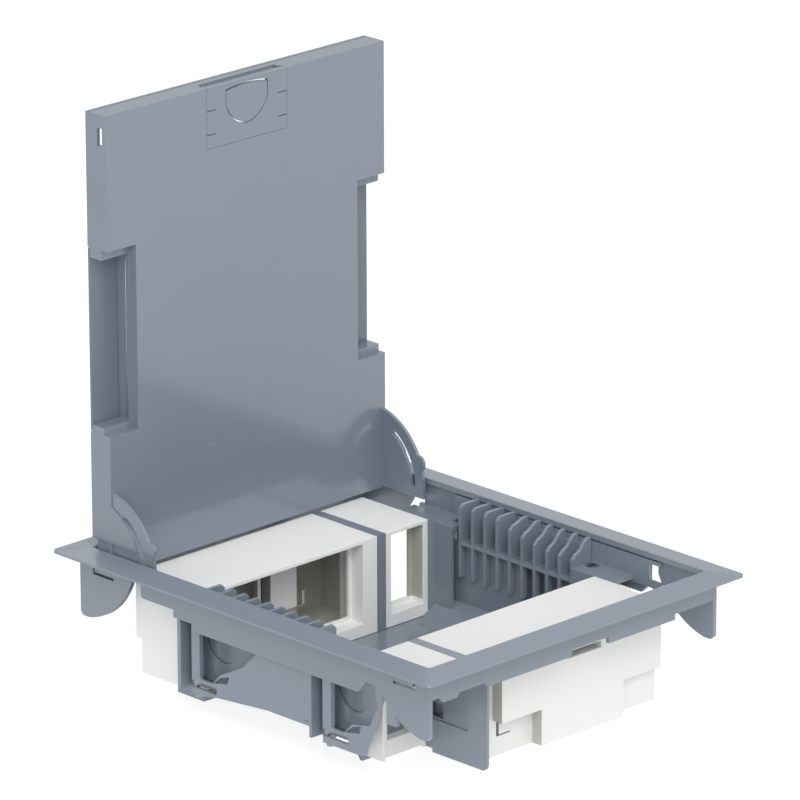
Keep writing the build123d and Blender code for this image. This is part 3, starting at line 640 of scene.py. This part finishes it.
@dataclass
class CoverForms:
    """Forms that the back covers' solids lack, given for the rear one.

    Attributes:
        strip_length: length of the recessed panel's lower strip.
        strip_inset: distances of the strip from the cover's two faces.
        strip_z: its height over the cover's foot.
        roof: length, width and thickness of the roof over the column.
    """

    strip_length: float = 29.5
    strip_inset: Pair = (0.3, 4.6)
    strip_z: Reach = (0.9, 7.0)
    roof: Point = (12.0, 8.0, 2.0)

    def build(self, nodes: dict[str, bpy.types.Object]) -> None:
        """Draws both covers again."""
        low, high = edges_of("rear_back_cover")
        near, far = self.strip_inset
        strip = block((low.x, low.x + self.strip_length), (low.y + near, high.y - far),
                      (low.z + self.strip_z[0], low.z + self.strip_z[1]))
        length, width, thickness = self.roof
        roof = block((high.x - length, high.x), (high.y - width, high.y), (high.z - thickness, high.z))
        joined = (strip, roof)
        Refined("rear_back_cover", WHITE_REAR_PAINTED_LIGHT_AND_SHADE, joined=joined).build(nodes)
        Refined("front_back_cover", WHITE_FRONT_PAINTED_SHADE, joined=front_twins(joined)).build(nodes)


@dataclass
class DividerForms:
    """Forms that the dividers' solids lack, given for the rear one.

    Attributes:
        recess: depth of the panel behind the divider's face.
        thickness: thickness of the panel.
        panel_y: length of the panel.
        panel_z: its height.
        sill_high: top of the sill under the panel.
        hole_y: length of the small hole.
        hole_z: its height.
        past: how far the hole's cut runs past the panel, behind and before it.
    """

    recess: float = 0.8
    thickness: float = 1.4
    panel_y: Reach = (81.0, 112.5)
    panel_z: Reach = (14.0, 49.0)
    sill_high: float = 20.0
    hole_y: Reach = (83.0, 92.0)
    hole_z: Reach = (21.5, 30.0)
    past: Pair = (0.2, 1.0)

    def build(self, nodes: dict[str, bpy.types.Object]) -> None:
        """Draws both dividers again."""
        face = edges_of("rear_divider")[1].x
        back = face - self.recess - self.thickness
        panel = block((back, face - self.recess), self.panel_y, self.panel_z)
        sill = block((back, face), self.panel_y, (self.panel_z[0], self.sill_high))
        hole = block((back - self.past[0], face + self.past[1]), self.hole_y, self.hole_z)
        joined, cuts = (panel, sill), (hole,)
        Refined("rear_divider", GREY_PLASTIC, joined=joined, cuts=cuts).build(nodes)
        Refined("front_divider", GREY_PLASTIC, joined=front_twins(joined), cuts=front_twins(cuts)).build(nodes)


@dataclass
class Fixed:
    """The housing: frame, basin, combs, carriers, covers, dividers and the lid's pins."""

    combs: tuple[str, ...] = ("cable_comb_left", "cable_comb_right")
    carriers: tuple[str, ...] = ("large_carrier", "small_carrier")
    pins: tuple[str, ...] = ("hinge_pin_left", "hinge_pin_right")
    pin_edge: float = 0.1

    def build(self, nodes: dict[str, bpy.types.Object]) -> None:
        """Dresses the solids of the housing and draws the refined ones again."""
        for name in self.combs:
            Mesher.dress(nodes[name], GREY_PLASTIC)
        for row, finish in (("rear", WHITE_REAR_PAINTED_LIGHT_AND_SHADE), ("front", WHITE_FRONT_PAINTED_SHADE)):
            for part in self.carriers:
                Mesher.dress(nodes[f"{row}_{part}"], finish)
        for name in self.pins:
            Mesher.dress(nodes[name], PLATED_STEEL, self.pin_edge)
        FrameForms().refined().build(nodes)
        BasinForms().refined().build(nodes)
        CoverForms().build(nodes)
        DividerForms().build(nodes)


@dataclass
class Lid:
    """The lid with its flaps, cartridge and handle.

    Attributes:
        moulded: solids in the lid's glossy plastic.
        flaps: the cable flaps.
        pins: the small pins.
        pin_edge: width of the pins' broken edges.
        pin_marks: X and Z of the ejector rings.
        gate_mark: X and Z of the two gate rings.
        gate_shares: radii of the gate rings, as shares of mark_radius.
        mark_radius: radius of an ejector ring.
        mark_proud: how far a ring stands proud.
        ring_steps: sides of a ring.
        bead_radius: radius of the bead in a cable notch.
        bead_short: how much shorter than the flap the bead is.
        bead_inset: distance of the bead from the flap's inner edge.
        bead_rise: distance of the bead from the lid's underside.
        bead_drop: how far the bead lies below the flap's middle.
        bead_sides: sides of a bead.
    """

    moulded: tuple[str, ...] = ("lid_tray", "handle_cartridge", "lifting_handle")
    flaps: tuple[str, ...] = ("cable_flap_left", "cable_flap_right")
    pins: tuple[str, ...] = ("handle_pin", "flap_pin_left", "flap_pin_right")
    pin_edge: float = 0.05
    pin_marks: tuple[Pair, ...] = (
        (14.7, 142.9), (-8.4, 141.3), (-26.0, 143.2), (12.9, 117.2), (-8.7, 116.5), (-31.0, 117.2),
    )
    gate_mark: Pair = (0.8, 197.5)
    gate_shares: Pair = (0.8, 0.35)
    mark_radius: float = 4.6
    mark_proud: float = 0.12
    ring_steps: int = 40
    bead_radius: float = 0.5
    bead_short: float = 12.0
    bead_inset: float = 0.6
    bead_rise: float = 7.6
    bead_drop: float = 1.0
    bead_sides: int = 12

    def build(self, nodes: dict[str, bpy.types.Object]) -> None:
        """Dresses the solids of the lid and adds its fine mouldings."""
        for name in self.moulded:
            Mesher.dress(nodes[name], LID_PLASTIC)
        for name in self.flaps:
            Mesher.dress(nodes[name], FLAP_PAINTED_REFLECTION)
        for name in self.pins:
            Mesher.dress(nodes[name], PLATED_STEEL, self.pin_edge)
        for number, place in enumerate(self.pin_marks, start=1):
            self._ring(f"ejector_mark_{number}", place, self.mark_radius)
        for name, share in zip(("gate_mark", "gate_mark_inner"), self.gate_shares):
            self._ring(name, self.gate_mark, self.mark_radius * share)
        for name, side in (("notch_bead_left", -1), ("notch_bead_right", 1)):
            self._bead(name, side)

    @staticmethod
    def _underside() -> float:
        """Returns the Y of the lid's underside, which faces the front while the lid is open."""
        return edges_of("handle_cartridge")[0].y

    def _ring(self, name: str, place: Pair, radius: float) -> None:
        """Adds a faint raised ring on the lid's underside.

        Args:
            name: name of the piece.
            place: X and Z of its middle.
            radius: its radius.
        """
        shape = bmesh.new()
        middle = Vector((place[0], self._underside(), place[1])) * MM
        profile = ((-2, 0), (0, -1), (2, 0))
        verts = [shape.verts.new(middle + Vector((radius + out * self.mark_proud, up * self.mark_proud, 0)) * MM)
                 for out, up in profile]
        lines = [shape.edges.new(pair) for pair in zip(verts, verts[1:])]
        bmesh.ops.spin(shape, geom=verts + lines, cent=middle, axis=(0, 1, 0), angle=math.tau,
                       steps=self.ring_steps, use_merge=True)
        Mesher.piece(name, shape, LID_PLASTIC, Body.LID)

    def _bead(self, name: str, side: int) -> None:
        """Adds the thin bead that runs up the inner side of a cable notch.

        Args:
            name: name of the piece.
            side: 1 at the right, -1 at the left.
        """
        low, high = edges_of("cable_flap_right")
        radius = self.bead_radius * MM
        shape = bmesh.new()
        bmesh.ops.create_cone(shape, cap_ends=True, segments=self.bead_sides, radius1=radius, radius2=radius,
                              depth=(high.z - low.z - self.bead_short) * MM)
        middle = Vector((side * (low.x + self.bead_inset), self._underside() + self.bead_rise,
                         (low.z + high.z) / 2 - self.bead_drop)) * MM
        bmesh.ops.translate(shape, vec=middle, verts=shape.verts)
        Mesher.piece(name, shape, LID_PLASTIC, Body.LID)


@dataclass
class Clamps:
    """The four screw clamps."""

    places: tuple[str, ...] = ("front_left", "front_right", "rear_left", "rear_right")
    kinds: tuple[str, ...] = ("screw", "nut", "claw")
    edge: float = 0.12

    def build(self, nodes: dict[str, bpy.types.Object]) -> None:
        """Dresses the solids of the clamps."""
        for place in self.places:
            for kind in self.kinds:
                Mesher.dress(nodes[f"clamp_{kind}_{place}"], PLATED_STEEL, self.edge)


@dataclass(frozen=True)
class Lamp:
    """A soft square light: its place and width in metres and its power in watts."""

    name: str
    place: Point
    width: float
    power: float

    def build(self, target: Point) -> None:
        """Makes the light, turned to a target in metres."""
        data = bpy.data.lights.new(self.name, "AREA")
        data.size = self.width
        data.energy = self.power
        lamp = bpy.data.objects.new(self.name, data)
        lamp.location = self.place
        aim = Vector(target) - Vector(self.place)
        lamp.rotation_euler = aim.to_track_quat("-Z", "Y").to_euler()
        bpy.context.scene.collection.objects.link(lamp)


@dataclass
class Studio:
    """Pale floor, soft lights and the camera, in metres and degrees.

    Attributes:
        floor_width: width of the floor.
        floor_tone: its grey.
        floor_glow: its own light, which keeps the photograph's even white round the box.
        floor_rough: its roughness.
        sky_power: strength of the white sky.
        azimuth: the camera's way round the box.
        elevation: the camera's angle over the floor.
        roll: the camera's turn about its own line of sight.
        distance: from the middle of the flange's top to the camera.
        side: the camera's shift to the right.
        rise: the camera's shift upwards.
        aim_height: height of the flange's top.
        lens: focal length in millimetres.
        sensor: width of the sensor in millimetres.
        sight: nearest and farthest distance that the camera shows.
        lamp_target: point that the lights face.
        lamps: the lights.
    """

    floor_width: float = 60.0
    floor_tone: float = 0.20
    floor_glow: float = 0.84
    floor_rough: float = 0.9
    sky_power: float = 0.70
    azimuth: float = -44.306
    elevation: float = 18.762
    roll: float = -0.179
    distance: float = 4.085845
    side: float = 0.001776
    rise: float = 0.0882
    aim_height: float = 0.07565
    lens: float = 332.67
    sensor: float = 36.0
    sight: Reach = (0.1, 100.0)
    lamp_target: Point = (0, 0, 0.1)
    lamps: tuple[Lamp, ...] = (
        Lamp("key", (-1.4, -2.2, 3.4), 2.4, 96.0),
        Lamp("front", (-2.8, -2.6, 1.6), 2.4, 44.0),
        Lamp("fill", (2.8, -2.2, 1.8), 3.0, 20.0),
        Lamp("back", (0.8, 3.2, 2.6), 3.0, 16.0),
    )

    def build(self) -> None:
        """Makes the floor, the lights, the sky and the camera."""
        self._floor()
        for lamp in self.lamps:
            lamp.build(self.lamp_target)
        self._sky()
        self._camera()
        bpy.context.scene.view_settings.view_transform = "Standard"

    def _floor(self) -> None:
        """Makes the pale floor."""
        shape = bmesh.new()
        bmesh.ops.create_grid(shape, x_segments=1, y_segments=1, size=self.floor_width / 2)
        floor = Mesher.plain("studio_floor", shape)
        made = bpy.data.materials.new("studio_floor")
        made.use_nodes = True
        shader = made.node_tree.nodes["Principled BSDF"]
        shader.inputs["Base Color"].default_value = (self.floor_tone, self.floor_tone, self.floor_tone, 1)
        shader.inputs["Roughness"].default_value = self.floor_rough
        shader.inputs["Emission Color"].default_value = (1, 1, 1, 1)
        shader.inputs["Emission Strength"].default_value = self.floor_glow
        floor.data.materials.append(made)

    def _sky(self) -> None:
        """Sets an even white sky."""
        world = bpy.data.worlds.new("studio_sky")
        world.use_nodes = True
        background = world.node_tree.nodes["Background"]
        background.inputs["Color"].default_value = (1, 1, 1, 1)
        background.inputs["Strength"].default_value = self.sky_power
        bpy.context.scene.world = world

    def _camera(self) -> None:
        """Sets the camera at the photograph's angle."""
        turn, tilt, spin = (math.radians(angle) for angle in (self.azimuth, self.elevation, self.roll))
        back = Vector((math.sin(turn) * math.cos(tilt), -math.cos(turn) * math.cos(tilt), math.sin(tilt)))
        level = Vector((math.cos(turn), math.sin(turn), 0))
        up = back.cross(level)
        right = level * math.cos(spin) + up * math.sin(spin)
        top = up * math.cos(spin) - level * math.sin(spin)
        data = bpy.data.cameras.new("camera")
        data.lens = self.lens
        data.sensor_width = self.sensor
        data.clip_start, data.clip_end = self.sight
        camera = bpy.data.objects.new("camera", data)
        attitude = Matrix((right, top, back)).transposed().to_4x4()
        place = Vector((0, 0, self.aim_height)) + back * self.distance + right * self.side + top * self.rise
        camera.matrix_world = Matrix.Translation(place) @ attitude
        bpy.context.scene.collection.objects.link(camera)
        bpy.context.scene.camera = camera


def main() -> None:
    """Loads the frame, dresses it and builds the studio."""
    logging.basicConfig(level=logging.INFO, format="%(name)s %(message)s")
    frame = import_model()
    nodes = frame["nodes"]
    Fixed().build(nodes)
    Lid().build(nodes)
    Clamps().build(nodes)
    Studio().build()


if __name__ == "__main__":
    main()
